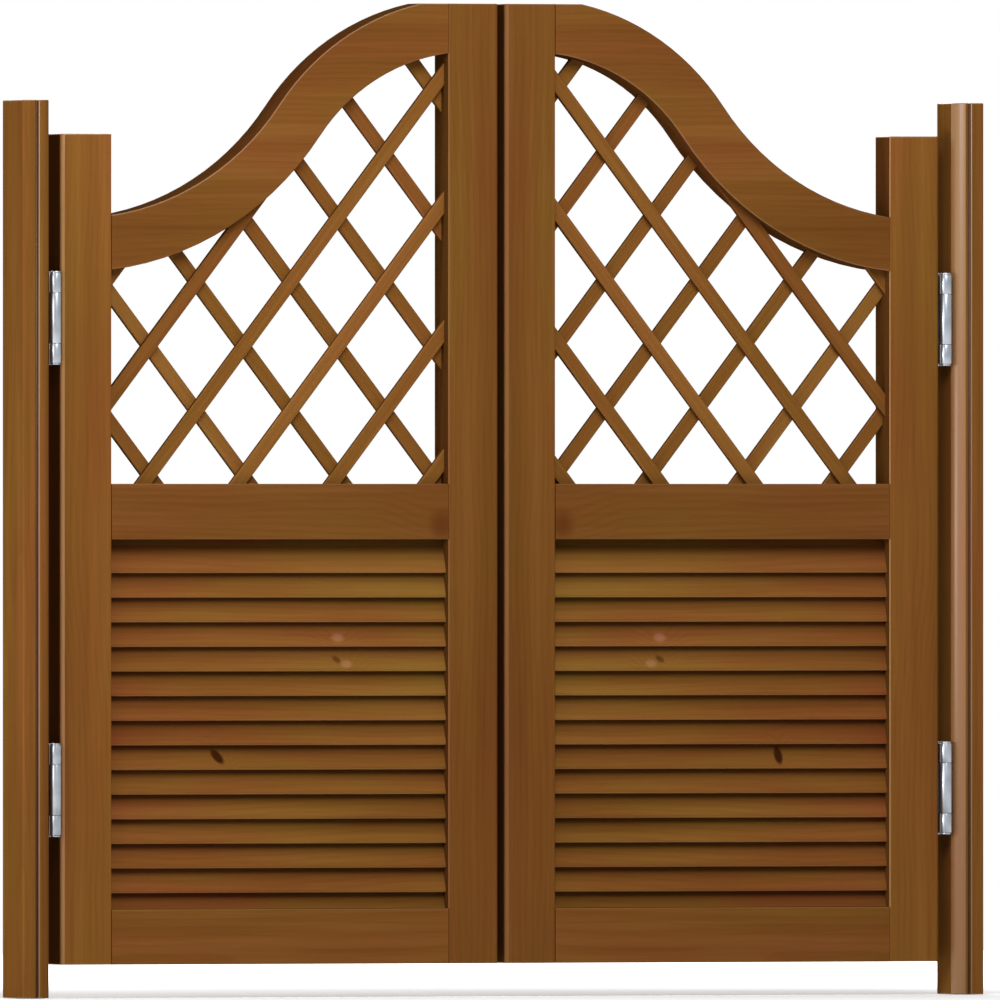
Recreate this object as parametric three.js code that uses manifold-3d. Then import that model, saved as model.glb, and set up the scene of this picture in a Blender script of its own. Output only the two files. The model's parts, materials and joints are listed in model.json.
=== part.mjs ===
// Pair of cafe swinging doors on hanging posts, with double-action spring hinges.
// Millimetres, +Z up, front towards -Y. X = 0 is the line where the two leaves meet,
// Y = 0 the middle of their thickness and Z = 0 the foot of the posts.
import * as THREE from 'three';
import { mergeVertices } from 'three/addons/utils/BufferGeometryUtils.js';
import ManifoldModule from 'manifold-3d';

const wasm = await ManifoldModule();
wasm.setup();
const { Manifold, Mesh: SolidMesh } = wasm;

// Leaf frame
const LEAF_WIDTH = 506;
const LEAF_HEIGHT = 1030.5;
const LEAF_THICKNESS = 40;
const MEETING_GAP = 8;
const FLOOR_GAP = 35.5;
const HORN_HEIGHT = 889.5;
const STILE_WIDTH = 58;
const STILE_ROUND = 4;
const MID_RAIL_WIDTH = 59.7;
const MID_RAIL_RISE = 455.2;
const BOTTOM_RAIL_WIDTH = 59.1;
const SEAT = 0.3;

// Mortise and tenon joints
const TENON_THICKNESS = 12;
const TENON_LENGTH = 30;
const TENON_SHOULDER = 14;

// Curved top rail: a flat, a round crown and a hollow that runs down to the hinge stile
const TOP_RAIL_WIDTH = 58;
const TOP_FLAT = 31;
const CROWN_RADIUS = 270;
const CROWN_START_DEG = 12;
const STEEPEST_DEG = 55;
const HOLLOW_END_DEG = 8;
const CURVE_STEPS = 14;

// Lattice of crossing laths, set out to fill the upper opening
const LATH_WIDTH = 15;
const LATH_THICKNESS = 6.85;
const LATH_POCKET = 6;
const LAYER_GAP = 0.6;
const DIAMOND_COUNT_ACROSS = 3.568;
const DIAMOND_COUNT_UP = 3.343;
const CROSSING_RATIO_ACROSS = 0.603;
const CROSSING_RATIO_UP = 1.579;
const CORNER_LATH_IN = 1.8;
const CORNER_LATH_DROP = 9.9;
const FRONT_LATHS = [-2, -1, 0, 1, 2, 'corner'];
const BACK_LATHS = [-2, -1, 0, 1, 2, 3, 4];

// Louvre panel: one board, both faces cut into sloping bands
const LOUVRE_BANDS = 15;
const LOWEST_BAND_SHARE = 0.64;
const LOUVRE_THICKNESS = 26;
const LOUVRE_CUT = 8.5;
const NOSE_FLAT = 2.2;
const NOSE_EASE = 0.9;
const UNDERCUT = 3;
const TONGUE_THICKNESS = 8;
const TONGUE_DEPTH = 10;

// Hanging posts
const POST_WIDTH = 33.3;
const POST_DEPTH = 60;
const POST_HEIGHT = 961;
const POST_ROUND = 12;
const POST_EASE = 2;
const BEAD_WIDTH = 15;
const QUIRK_WIDTH = 3.5;
const QUIRK_DEPTH = 3;

// Double-action hinges
const HINGE_HEIGHT = 100;
const UPPER_HINGE_RISE = 692.3;
const LOWER_HINGE_RISE = 187;
const BARREL_RADIUS = 6.75;
const BARREL_CLEARANCE = 0.6;
const AXIS_STANDOFF = 2;
const PLATE_THICKNESS = 2;
const PLATE_CLEARANCE = 0.75;
const TUBE_HEIGHT = 54;
const TUBE_WALL = 1.5;
const KNUCKLE_GAP = 0.4;
const PIN_RADIUS = 2.5;
const CAP_RADIUS = 5.6;
const CAP_HEIGHT = 1.7;
const SCREW_HOLE_RADIUS = 3.2;
const SCREW_SPREAD = 6;
const SCREW_PITCH = 24;
const SPRING_TURNS = 6;
const SPRING_STEPS = 8;
const SPRING_SIDES = 5;
const SPRING_WIRE_RADIUS = 0.8;
const SPRING_CLEARANCE = 0.45;
const COLLAR_HEIGHT = 4.6;
const ROUND_SIDES = 16;
const SCREW_SIDES = 10;
const ROUND_STEPS = 4;

// Places that follow from the sizes
const HALF = LEAF_THICKNESS / 2;
const meetEdge = MEETING_GAP / 2;
const hingeEdge = meetEdge + LEAF_WIDTH;
const meetInner = meetEdge + STILE_WIDTH;
const hingeInner = hingeEdge - STILE_WIDTH;
const leafTop = FLOOR_GAP + LEAF_HEIGHT;
const hornTop = FLOOR_GAP + HORN_HEIGHT;
const bottomRailTop = FLOOR_GAP + BOTTOM_RAIL_WIDTH;
const midRailBottom = FLOOR_GAP + MID_RAIL_RISE;
const midRailTop = midRailBottom + MID_RAIL_WIDTH;
const hingeGap = 2 * (BARREL_RADIUS + BARREL_CLEARANCE);
const axisX = hingeEdge + hingeGap / 2;
const axisY = HALF + AXIS_STANDOFF;
const postInner = hingeEdge + hingeGap;
const postOuter = postInner + POST_WIDTH;
const rad = (deg) => (deg * Math.PI) / 180;

// Solids from plain geometry, and back
function toSolid(geometry) {
  const bare = new THREE.BufferGeometry();
  bare.setAttribute('position', geometry.getAttribute('position'));
  if (geometry.index) bare.setIndex(geometry.index);
  const welded = mergeVertices(bare, 1e-4);
  return new Manifold(new SolidMesh({
    numProp: 3,
    vertProperties: new Float32Array(welded.getAttribute('position').array),
    triVerts: new Uint32Array(welded.index.array),
  }));
}

function toGeometry(solid) {
  const mesh = solid.getMesh();
  const geometry = new THREE.BufferGeometry();
  geometry.setAttribute('position', new THREE.BufferAttribute(new Float32Array(mesh.vertProperties), 3));
  geometry.setIndex(new THREE.BufferAttribute(new Uint32Array(mesh.triVerts), 1));
  geometry.computeVertexNormals();
  return geometry;
}

function extrude(points, depth) {
  const shape = new THREE.Shape(points.map(([a, b]) => new THREE.Vector2(a, b)));
  return new THREE.ExtrudeGeometry(shape, { depth, bevelEnabled: false, steps: 1 });
}

// A board with its outline in X and Z, from y0 to y1
function board(points, y0, y1) {
  const geometry = extrude(points, y1 - y0);
  geometry.rotateX(Math.PI / 2);
  geometry.translate(0, y1, 0);
  return toSolid(geometry);
}

// A moulding with its section in Y and Z, from x0 to x1
function moulding(points, x0, x1) {
  const geometry = extrude(points, x1 - x0);
  const turn = new THREE.Matrix4().set(0, 0, 1, x0, 1, 0, 0, 0, 0, 1, 0, 0, 0, 0, 0, 1);
  geometry.applyMatrix4(turn);
  return toSolid(geometry);
}

// A column with its section in X and Y, from z0 to z1
function column(points, z0, z1) {
  const geometry = extrude(points, z1 - z0);
  geometry.translate(0, 0, z0);
  return toSolid(geometry);
}

function block(x0, x1, y0, y1, z0, z1) {
  const geometry = new THREE.BoxGeometry(Math.abs(x1 - x0), Math.abs(y1 - y0), Math.abs(z1 - z0));
  geometry.translate((x0 + x1) / 2, (y0 + y1) / 2, (z0 + z1) / 2);
  return toSolid(geometry);
}

function rod(radius, x, y, z0, z1, sides = ROUND_SIDES) {
  const geometry = new THREE.CylinderGeometry(radius, radius, z1 - z0, sides);
  geometry.rotateX(Math.PI / 2);
  geometry.translate(x, y, (z0 + z1) / 2);
  return toSolid(geometry);
}

// Corner points of a rectangle in X and Y, with one radius for each of its two X sides
function roundedSection(x0, x1, half, round0, round1) {
  const points = [];
  const corner = (cx, cy, r, from) => {
    for (let i = 0; i <= ROUND_STEPS; i += 1) {
      const a = rad(from + (90 * i) / ROUND_STEPS);
      points.push([cx + r * Math.cos(a), cy + r * Math.sin(a)]);
    }
  };
  corner(x1 - round1, half - round1, round1, 0);
  corner(x0 + round0, half - round0, round0, 90);
  corner(x0 + round0, -half + round0, round0, 180);
  corner(x1 - round1, -half + round1, round1, 270);
  return points;
}

// Both edges of the curved rail are arcs about the same two centres
const flatEnd = meetInner + TOP_FLAT;
const crownCentre = [
  flatEnd - CROWN_RADIUS * Math.sin(rad(CROWN_START_DEG)),
  leafTop - CROWN_RADIUS * Math.cos(rad(CROWN_START_DEG)),
];
const turnPoint = [
  crownCentre[0] + CROWN_RADIUS * Math.sin(rad(STEEPEST_DEG)),
  crownCentre[1] + CROWN_RADIUS * Math.cos(rad(STEEPEST_DEG)),
];
const hollowTurn = Math.sin(rad(STEEPEST_DEG)) - Math.sin(rad(HOLLOW_END_DEG));
const hollowRadius = (hingeInner - turnPoint[0]) / hollowTurn;
const hollowCentre = [
  turnPoint[0] + hollowRadius * Math.sin(rad(STEEPEST_DEG)),
  turnPoint[1] + hollowRadius * Math.cos(rad(STEEPEST_DEG)),
];

// Points of the curve that lies `inset` below the rail's upper edge, from x0 to x1
function curve(inset, x0, x1) {
  const crown = CROWN_RADIUS - inset;
  const hollow = hollowRadius + inset;
  const points = [];
  const first = Math.asin((x0 - crownCentre[0]) / crown);
  const last = Math.asin((hollowCentre[0] - x1) / hollow);
  for (let i = 0; i <= CURVE_STEPS; i += 1) {
    const a = first + ((rad(STEEPEST_DEG) - first) * i) / CURVE_STEPS;
    points.push([crownCentre[0] + crown * Math.sin(a), crownCentre[1] + crown * Math.cos(a)]);
  }
  for (let i = 1; i <= CURVE_STEPS; i += 1) {
    const a = rad(STEEPEST_DEG) + ((last - rad(STEEPEST_DEG)) * i) / CURVE_STEPS;
    points.push([hollowCentre[0] - hollow * Math.sin(a), hollowCentre[1] - hollow * Math.cos(a)]);
  }
  return points;
}

const mirrored = (points, side) => points.map(([x, z]) => [side * x, z]);

// Tenon on a rail's end, and the mortise that takes it
function tenon(side, atMeet, z0, z1, clearance) {
  const half = TENON_THICKNESS / 2 + clearance;
  const root = atMeet ? meetInner + STILE_WIDTH / 4 : hingeInner - STILE_WIDTH / 4;
  const reach = TENON_LENGTH + clearance;
  const tip = atMeet ? meetInner - reach : hingeInner + reach;
  return block(side * root, side * tip, -half, half, z0 - clearance, z1 + clearance);
}

// Wooden parts of one leaf; side is -1 on the left and 1 on the right
const topRailMeetLow = curve(TOP_RAIL_WIDTH, meetInner, hingeInner)[0][1];
const topRailHingeLow = curve(TOP_RAIL_WIDTH, meetInner, hingeInner).at(-1)[1];
const topRailHingeHigh = curve(0, flatEnd, hingeInner).at(-1)[1];
const tenonSpans = {
  bottom: [FLOOR_GAP + TENON_SHOULDER, bottomRailTop - TONGUE_DEPTH - TENON_SHOULDER / 2],
  mid: [midRailBottom + TONGUE_DEPTH + TENON_SHOULDER / 2, midRailTop - TENON_SHOULDER],
  topMeet: [topRailMeetLow + TENON_SHOULDER, leafTop - TENON_SHOULDER],
  topHinge: [topRailHingeLow + TENON_SHOULDER, topRailHingeHigh - TENON_SHOULDER],
};

function openingOutline(grow) {
  const x0 = meetInner - grow;
  const x1 = hingeInner + grow;
  const under = curve(TOP_RAIL_WIDTH - grow, x0, x1).reverse();
  return [[x0, midRailTop - grow], [x1, midRailTop - grow], ...under];
}

const pitchX = (hingeInner - meetInner) / DIAMOND_COUNT_ACROSS;
const pitchZ = (topRailMeetLow - midRailTop) / DIAMOND_COUNT_UP;

// Outline of the lath that passes the k-th crossing, or that fills the corner at the hinge stile;
// lean is -1 if it rises to the meeting stile
function lathOutline(k, lean, grow) {
  const corner = k === 'corner';
  const x = corner ? hingeInner - CORNER_LATH_IN : meetInner + (CROSSING_RATIO_ACROSS + k) * pitchX;
  const z = corner ? topRailHingeLow - CORNER_LATH_DROP : midRailTop + CROSSING_RATIO_UP * pitchZ;
  const along = new THREE.Vector2(lean * pitchX, pitchZ).normalize();
  const half = LATH_WIDTH / 2 + grow;
  const reach = LEAF_HEIGHT;
  const at = (a, b) => [x + a * along.x - b * along.y, z + a * along.y + b * along.x];
  return [at(-reach, -half), at(reach, -half), at(reach, half), at(-reach, half)];
}

function layerSpan(front, grow) {
  const near = LAYER_GAP / 2 - (grow ? LAYER_GAP / 4 : 0);
  const far = LAYER_GAP / 2 + LATH_THICKNESS + grow;
  return front ? [-far, -near] : [near, far];
}

function lath(side, k, front, grow) {
  const [y0, y1] = layerSpan(front, grow);
  const strip = board(mirrored(lathOutline(k, front ? -1 : 1, grow), side), y0, y1);
  const field = board(mirrored(openingOutline(LATH_POCKET + grow), side), y0 - 1, y1 + 1);
  return Manifold.intersection(strip, field);
}

function louvrePanel(side) {
  const x0 = side * (meetInner + SEAT);
  const x1 = side * (hingeInner - SEAT);
  const low = bottomRailTop + SEAT;
  const high = midRailBottom - SEAT;
  const pitch = (high - low) / LOUVRE_BANDS;
  const nose = LOUVRE_THICKNESS / 2;
  const valley = nose - LOUVRE_CUT;
  const front = [];
  for (let k = -1; k < LOUVRE_BANDS - 1; k += 1) {
    const z = low + (k + LOWEST_BAND_SHARE) * pitch;
    front.push([-nose + NOSE_EASE, z]);
    front.push([-nose, z + NOSE_EASE]);
    front.push([-nose, z + NOSE_EASE + NOSE_FLAT]);
    front.push([-valley, z + pitch + UNDERCUT]);
  }
  front.push([-valley, high + SEAT]);
  const back = front.map(([y, z]) => [-y, z]).reverse();
  const milled = moulding([...front, ...back], Math.min(x0, x1), Math.max(x0, x1));
  const bands = Manifold.intersection(milled, block(x0, x1, -nose, nose, low, high));
  const tongue = block(
    side * (meetInner - TONGUE_DEPTH), side * (hingeInner + TONGUE_DEPTH),
    -TONGUE_THICKNESS / 2, TONGUE_THICKNESS / 2,
    bottomRailTop - TONGUE_DEPTH, midRailBottom + TONGUE_DEPTH,
  );
  return Manifold.union(bands, tongue);
}

function leaf(side) {
  const groove = block(
    side * (meetInner - TONGUE_DEPTH - SEAT), side * (hingeInner + TONGUE_DEPTH + SEAT),
    -TONGUE_THICKNESS / 2 - SEAT, TONGUE_THICKNESS / 2 + SEAT,
    bottomRailTop - TONGUE_DEPTH - SEAT, midRailBottom + TONGUE_DEPTH + SEAT,
  );
  const pockets = Manifold.union([
    ...FRONT_LATHS.map((k) => lath(side, k, true, SEAT)),
    ...BACK_LATHS.map((k) => lath(side, k, false, SEAT)),
  ]);
  const mortises = (atMeet) => Manifold.union([
    tenon(side, atMeet, ...tenonSpans.bottom, SEAT),
    tenon(side, atMeet, ...tenonSpans.mid, SEAT),
    tenon(side, atMeet, ...(atMeet ? tenonSpans.topMeet : tenonSpans.topHinge), SEAT),
  ]);
  const rail = (outline, span0, span1) => Manifold.union([
    board(mirrored(outline, side), -HALF, HALF),
    tenon(side, true, ...span0, 0),
    tenon(side, false, ...span1, 0),
  ]);
  const x0 = meetInner + SEAT;
  const x1 = hingeInner - SEAT;
  const flat = (z0, z1) => [[x0, z0], [x1, z0], [x1, z1], [x0, z1]];
  const topOutline = [
    [x0, leafTop], ...curve(0, flatEnd, x1), ...curve(TOP_RAIL_WIDTH, x0, x1).reverse(),
  ];
  const meetSection = roundedSection(meetEdge, meetInner, HALF, STILE_ROUND, 0.01);
  const hingeSection = roundedSection(hingeInner, hingeEdge, HALF, 0.01, STILE_ROUND);
  const square = (points) => points.filter(([x], i, all) => {
    const previous = all[(i + all.length - 1) % all.length];
    return Math.hypot(x - previous[0], all[i][1] - previous[1]) > 0.05;
  });
  const stile = (section, top) => column(mirrored(square(section), side), FLOOR_GAP, top);
  const name = side < 0 ? 'left' : 'right';
  const pieces = {
    [`${name}_meeting_stile`]: stile(meetSection, leafTop)
      .subtract(mortises(true)).subtract(groove).subtract(pockets),
    [`${name}_hinge_stile`]: stile(hingeSection, hornTop)
      .subtract(mortises(false)).subtract(groove).subtract(pockets),
    [`${name}_top_rail`]: rail(topOutline, tenonSpans.topMeet, tenonSpans.topHinge).subtract(pockets),
    [`${name}_mid_rail`]: rail(flat(midRailBottom, midRailTop), tenonSpans.mid, tenonSpans.mid)
      .subtract(groove).subtract(pockets),
    [`${name}_bottom_rail`]: rail(flat(FLOOR_GAP, bottomRailTop), tenonSpans.bottom, tenonSpans.bottom)
      .subtract(groove),
    [`${name}_louvre_panel`]: louvrePanel(side),
  };
  FRONT_LATHS.forEach((k, i) => {
    pieces[`${name}_front_lath_${i + 1}`] = lath(side, k, true, 0);
  });
  BACK_LATHS.forEach((k, i) => {
    pieces[`${name}_back_lath_${i + 1}`] = lath(side, k, false, 0);
  });
  return pieces;
}

// Coiled wire about a pin, as one tube with closed ends
function coil(x, y, z0, z1, radius) {
  const positions = [];
  const index = [];
  const count = SPRING_TURNS * SPRING_STEPS;
  const rise = (z1 - z0) / count;
  const pitchAngle = Math.atan2(rise * SPRING_STEPS, 2 * Math.PI * radius);
  for (let i = 0; i <= count; i += 1) {
    const turn = (2 * Math.PI * i) / SPRING_STEPS;
    const out = new THREE.Vector3(Math.cos(turn), Math.sin(turn), 0);
    const along = new THREE.Vector3(-Math.sin(turn), Math.cos(turn), 0).multiplyScalar(Math.cos(pitchAngle));
    along.z = Math.sin(pitchAngle);
    const up = new THREE.Vector3().crossVectors(out, along);
    for (let j = 0; j < SPRING_SIDES; j += 1) {
      const a = (2 * Math.PI * j) / SPRING_SIDES;
      const p = new THREE.Vector3(x, y, z0 + rise * i).addScaledVector(out, radius);
      p.addScaledVector(out, SPRING_WIRE_RADIUS * Math.cos(a));
      p.addScaledVector(up, SPRING_WIRE_RADIUS * Math.sin(a));
      positions.push(p.x, p.y, p.z);
    }
  }
  for (let i = 0; i < count; i += 1) {
    for (let j = 0; j < SPRING_SIDES; j += 1) {
      const a = i * SPRING_SIDES + j;
      const b = i * SPRING_SIDES + ((j + 1) % SPRING_SIDES);
      index.push(a, a + SPRING_SIDES, b);
      index.push(b, a + SPRING_SIDES, b + SPRING_SIDES);
    }
  }
  const end = count * SPRING_SIDES;
  for (let j = 1; j < SPRING_SIDES - 1; j += 1) {
    index.push(0, j, j + 1);
    index.push(end, end + j + 1, end + j);
  }
  const geometry = new THREE.BufferGeometry();
  geometry.setAttribute('position', new THREE.Float32BufferAttribute(positions, 3));
  geometry.setIndex(index);
  return toSolid(geometry);
}

// One hinge: leaf on the post, web with two spring tubes, leaf on the door, and two spring pins.
// The right-hand hinge is the left-hand one turned half round, so its fixed axis is at the back.
function hinge(side, centre, name) {
  const jambY = side < 0 ? -axisY : axisY;
  const doorY = -jambY;
  const ax = side * axisX;
  const half = HINGE_HEIGHT / 2;
  const tubeHalf = TUBE_HEIGHT / 2;
  const earFrom = tubeHalf + KNUCKLE_GAP;
  const earTo = half - CAP_HEIGHT - SEAT;
  const plateHalf = axisY - BARREL_RADIUS - PLATE_CLEARANCE;
  const bore = BARREL_RADIUS - TUBE_WALL;
  const holes = (x0, x1) => [-1.5, -0.5, 0.5, 1.5].map((row, i) => {
    const solid = rod(SCREW_HOLE_RADIUS, 0, 0, Math.min(x0, x1) - 1, Math.max(x0, x1) + 1, SCREW_SIDES);
    const y = i % 2 ? SCREW_SPREAD : -SCREW_SPREAD;
    return solid.rotate([0, 90, 0]).translate([0, y, centre + row * SCREW_PITCH]);
  });
  const flap = (near, far, y) => {
    const x0 = side * near;
    const x1 = side * far;
    const parts = [block(x0, x1, -plateHalf, plateHalf, centre - half, centre + half)];
    const bores = [];
    for (const sign of [-1, 1]) {
      const z0 = centre + Math.min(sign * earFrom, sign * earTo);
      const z1 = centre + Math.max(sign * earFrom, sign * earTo);
      parts.push(block(x0, x1, y, Math.sign(y) * plateHalf / 2, z0, z1));
      parts.push(rod(BARREL_RADIUS, ax, y, z0, z1));
      bores.push(rod(PIN_RADIUS + SEAT, ax, y, z0 - 1, z1 + 1));
    }
    return Manifold.union(parts).subtract(Manifold.union([...bores, ...holes(x0, x1)]));
  };
  const web = Manifold.union([
    rod(BARREL_RADIUS, ax, -axisY, centre - tubeHalf, centre + tubeHalf),
    rod(BARREL_RADIUS, ax, axisY, centre - tubeHalf, centre + tubeHalf),
    block(
      ax - PLATE_THICKNESS / 2, ax + PLATE_THICKNESS / 2, -axisY, axisY,
      centre - tubeHalf, centre + tubeHalf,
    ),
  ]).subtract(Manifold.union([
    rod(bore, ax, -axisY, centre - half, centre + half),
    rod(bore, ax, axisY, centre - half, centre + half),
  ]));
  const springPin = (y) => {
    const collarRadius = bore - SPRING_CLEARANCE;
    const collarTop = centre + tubeHalf - KNUCKLE_GAP;
    const collarFoot = collarTop - COLLAR_HEIGHT;
    const coilRadius = collarRadius - SPRING_WIRE_RADIUS;
    const coilFoot = centre - tubeHalf + KNUCKLE_GAP + SPRING_WIRE_RADIUS;
    return Manifold.union([
      rod(PIN_RADIUS, ax, y, centre - half + CAP_HEIGHT / 2, centre + half - CAP_HEIGHT / 2, ROUND_SIDES),
      rod(CAP_RADIUS, ax, y, centre - half, centre - half + CAP_HEIGHT),
      rod(CAP_RADIUS, ax, y, centre + half - CAP_HEIGHT, centre + half),
      rod(collarRadius, ax, y, collarFoot, collarTop),
      coil(ax, y, coilFoot, collarFoot + SPRING_WIRE_RADIUS + SEAT, coilRadius),
    ]);
  };
  return {
    [`${name}_jamb_leaf`]: flap(postInner - SEAT - PLATE_THICKNESS, postInner - SEAT, jambY),
    [`${name}_web`]: web,
    [`${name}_door_leaf`]: flap(hingeEdge + SEAT, hingeEdge + SEAT + PLATE_THICKNESS, doorY),
    [`${name}_jamb_pin`]: springPin(jambY),
    [`${name}_door_pin`]: springPin(doorY),
  };
}

// The inner arrises of a post are beads, each set off from the flat face by a small groove, the quirk
function postSection() {
  const half = POST_DEPTH / 2;
  const corners = roundedSection(postInner, postOuter, half, POST_ROUND, POST_EASE);
  const cornerPoints = ROUND_STEPS + 1;
  const bead = postInner + BEAD_WIDTH;
  const quirk = (face) => [
    [bead, face * half],
    [bead + QUIRK_WIDTH / 2, face * (half - QUIRK_DEPTH)],
    [bead + QUIRK_WIDTH, face * half],
  ];
  return [
    ...corners.slice(0, cornerPoints),
    ...quirk(1).reverse(),
    ...corners.slice(cornerPoints, 3 * cornerPoints),
    ...quirk(-1),
    ...corners.slice(3 * cornerPoints),
  ];
}

function post(side) {
  return column(mirrored(postSection(), side), 0, POST_HEIGHT);
}

const wood = new THREE.MeshStandardMaterial({ name: 'stained_pine', color: 0x8a5829, roughness: 0.45 });
const steel = new THREE.MeshStandardMaterial({
  name: 'hinge_steel', color: 0xb8bbc0, roughness: 0.35, metalness: 1,
});

const part = new THREE.Group();
part.name = 'cafe_swinging_doors';

function add(pieces, material) {
  for (const [name, solid] of Object.entries(pieces)) {
    const mesh = new THREE.Mesh(toGeometry(solid), material);
    mesh.name = name;
    part.add(mesh);
  }
}

add({ left_post: post(-1), right_post: post(1) }, wood);
add(leaf(-1), wood);
add(leaf(1), wood);
for (const [side, word] of [[-1, 'left'], [1, 'right']]) {
  add(hinge(side, FLOOR_GAP + UPPER_HINGE_RISE, `${word}_upper_hinge`), steel);
  add(hinge(side, FLOOR_GAP + LOWER_HINGE_RISE, `${word}_lower_hinge`), steel);
}

export default part;
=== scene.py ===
# %% [markdown]
# # A pair of cafe swinging doors
# The doors are two low leaves of stained pine that hang between two posts on double-action spring hinges.
# Each leaf has a lattice of laths above, a louvred panel below and a top rail cut to an S curve.
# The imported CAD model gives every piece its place, so this script only dresses the pieces: it eases
# their arrises, gives each board its own grain, adds the hinge screws, and sets the light and the camera.

# %% Load the frame
import json
import math

import bmesh
import bpy
from mathutils import Matrix, Vector

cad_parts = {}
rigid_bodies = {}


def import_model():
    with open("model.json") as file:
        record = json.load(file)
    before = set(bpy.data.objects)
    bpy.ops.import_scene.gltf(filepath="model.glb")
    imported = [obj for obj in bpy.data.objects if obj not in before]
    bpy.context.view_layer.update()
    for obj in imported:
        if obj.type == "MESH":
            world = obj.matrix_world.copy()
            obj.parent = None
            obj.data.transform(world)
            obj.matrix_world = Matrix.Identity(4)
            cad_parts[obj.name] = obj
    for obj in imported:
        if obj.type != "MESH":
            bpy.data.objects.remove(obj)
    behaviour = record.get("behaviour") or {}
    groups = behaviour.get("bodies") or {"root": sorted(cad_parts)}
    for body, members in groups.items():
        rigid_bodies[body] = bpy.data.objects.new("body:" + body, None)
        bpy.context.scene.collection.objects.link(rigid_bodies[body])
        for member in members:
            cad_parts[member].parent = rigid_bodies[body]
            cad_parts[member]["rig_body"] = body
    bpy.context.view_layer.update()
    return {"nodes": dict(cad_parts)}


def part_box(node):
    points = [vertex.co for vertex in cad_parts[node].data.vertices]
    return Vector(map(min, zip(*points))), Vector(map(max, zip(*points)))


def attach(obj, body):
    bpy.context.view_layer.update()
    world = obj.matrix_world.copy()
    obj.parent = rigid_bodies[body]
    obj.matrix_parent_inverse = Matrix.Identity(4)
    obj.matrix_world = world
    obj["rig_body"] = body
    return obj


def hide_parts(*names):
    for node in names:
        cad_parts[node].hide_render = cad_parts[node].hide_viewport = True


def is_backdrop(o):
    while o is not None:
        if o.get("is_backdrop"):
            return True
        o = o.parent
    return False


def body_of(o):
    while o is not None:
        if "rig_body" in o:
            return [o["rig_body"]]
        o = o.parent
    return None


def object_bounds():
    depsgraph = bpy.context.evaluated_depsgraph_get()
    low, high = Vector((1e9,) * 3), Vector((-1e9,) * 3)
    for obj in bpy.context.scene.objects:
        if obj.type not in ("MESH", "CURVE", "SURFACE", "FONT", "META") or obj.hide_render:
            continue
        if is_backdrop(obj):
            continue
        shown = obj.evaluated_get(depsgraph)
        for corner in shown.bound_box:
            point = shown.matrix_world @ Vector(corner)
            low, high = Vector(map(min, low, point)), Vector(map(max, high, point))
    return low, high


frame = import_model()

MM = 0.001
scene = bpy.context.scene
scene.view_settings.view_transform = "Standard"

# %% [markdown]
# The camera comes first, because it decides which faces of the doors are seen.
# The photograph looks level at the doors from the left: the left sides of the boards show, and hardly
# any lines run together. A long lens from far away gives that, without moving the picture sideways
# with the lens's shift, which would spoil the views from other sides. It stands no farther away than
# this, so that the doors stay within the far clipping distance of those views.

# %% Camera at the photograph's angle
CAMERA_AZIMUTH = math.radians(-22.4)
CAMERA_DISTANCE = 50.0
CAMERA_AIM_HEIGHT = 0.533
CAMERA_AIM_RIGHT = 0.0055
FRAME_WIDTH = 1.0745

to_camera = Vector((math.sin(CAMERA_AZIMUTH), -math.cos(CAMERA_AZIMUTH), 0))
camera_right = Vector((math.cos(CAMERA_AZIMUTH), math.sin(CAMERA_AZIMUTH), 0))
aim = camera_right * CAMERA_AIM_RIGHT + Vector((0, 0, CAMERA_AIM_HEIGHT))
camera_data = bpy.data.cameras.new("photo_camera")
camera_data.lens = camera_data.sensor_width * CAMERA_DISTANCE / FRAME_WIDTH
camera_data.clip_end = 2 * CAMERA_DISTANCE
camera = bpy.data.objects.new("photo_camera", camera_data)
camera.location = aim + to_camera * CAMERA_DISTANCE
camera.rotation_euler = to_camera.to_track_quat("Z", "Y").to_euler()
scene.collection.objects.link(camera)
scene.camera = camera
print("lens", round(camera_data.lens), "mm")

# %% [markdown]
# Materials are node trees. They could be built by hand in the node editor, but a script can repeat them.
# A few small helpers keep it readable: one adds a node, sets its options and links or fills its inputs,
# and others shorten sums, smooth steps and the start of a new material. A colour picked on the screen
# has to be turned into Blender's linear values, so that has a helper too.

# %% Helpers for materials
def add_node(tree, kind, inputs=None, **options):
    made = tree.nodes.new(kind)
    for key, value in options.items():
        setattr(made, key, value)
    for key, value in (inputs or {}).items():
        if isinstance(value, bpy.types.NodeSocket):
            tree.links.new(value, made.inputs[key])
        else:
            made.inputs[key].default_value = value
    return made


def math_node(tree, operation, first, second=0.0, third=0.0):
    made = add_node(tree, "ShaderNodeMath", {0: first, 1: second, 2: third}, operation=operation)
    return made.outputs[0]


def smooth_step(tree, value, start, end, low, high):
    made = add_node(tree, "ShaderNodeMapRange", {
        "Value": value, "From Min": start, "From Max": end, "To Min": low, "To Max": high},
        interpolation_type="SMOOTHSTEP")
    return made.outputs[0]


def blank_material(name):
    material = bpy.data.materials.new(name)
    material.use_nodes = True
    tree = material.node_tree
    tree.nodes.clear()
    shader = add_node(tree, "ShaderNodeBsdfPrincipled")
    add_node(tree, "ShaderNodeOutputMaterial", {"Surface": shader.outputs[0]})
    return material, tree, shader


def screen_colour(red, green, blue):
    def linear(value):
        value /= 255
        return value / 12.92 if value <= 0.04045 else ((value + 0.055) / 1.055) ** 2.4
    return (linear(red), linear(green), linear(blue), 1)


print("middle grey in linear values", round(screen_colour(128, 128, 128)[0], 3))

# %% [markdown]
# The doors stand on a plain pale floor. A single square face is enough, a hair below their feet. Near the
# doors the floor takes their shadow. Farther out it glows for the camera until it is as white as the room,
# so no horizon shows. Only rays that are seen find this glow, so it sheds no light on the wood.

# %% Floor
FLOOR_SIZE = 9.0
FLOOR_DROP = 0.4 * MM
FLOOR_GREY = 0.9
GLOW_NEAR = 0.12
GLOW_START = 0.6
GLOW_END = 1.8


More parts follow.
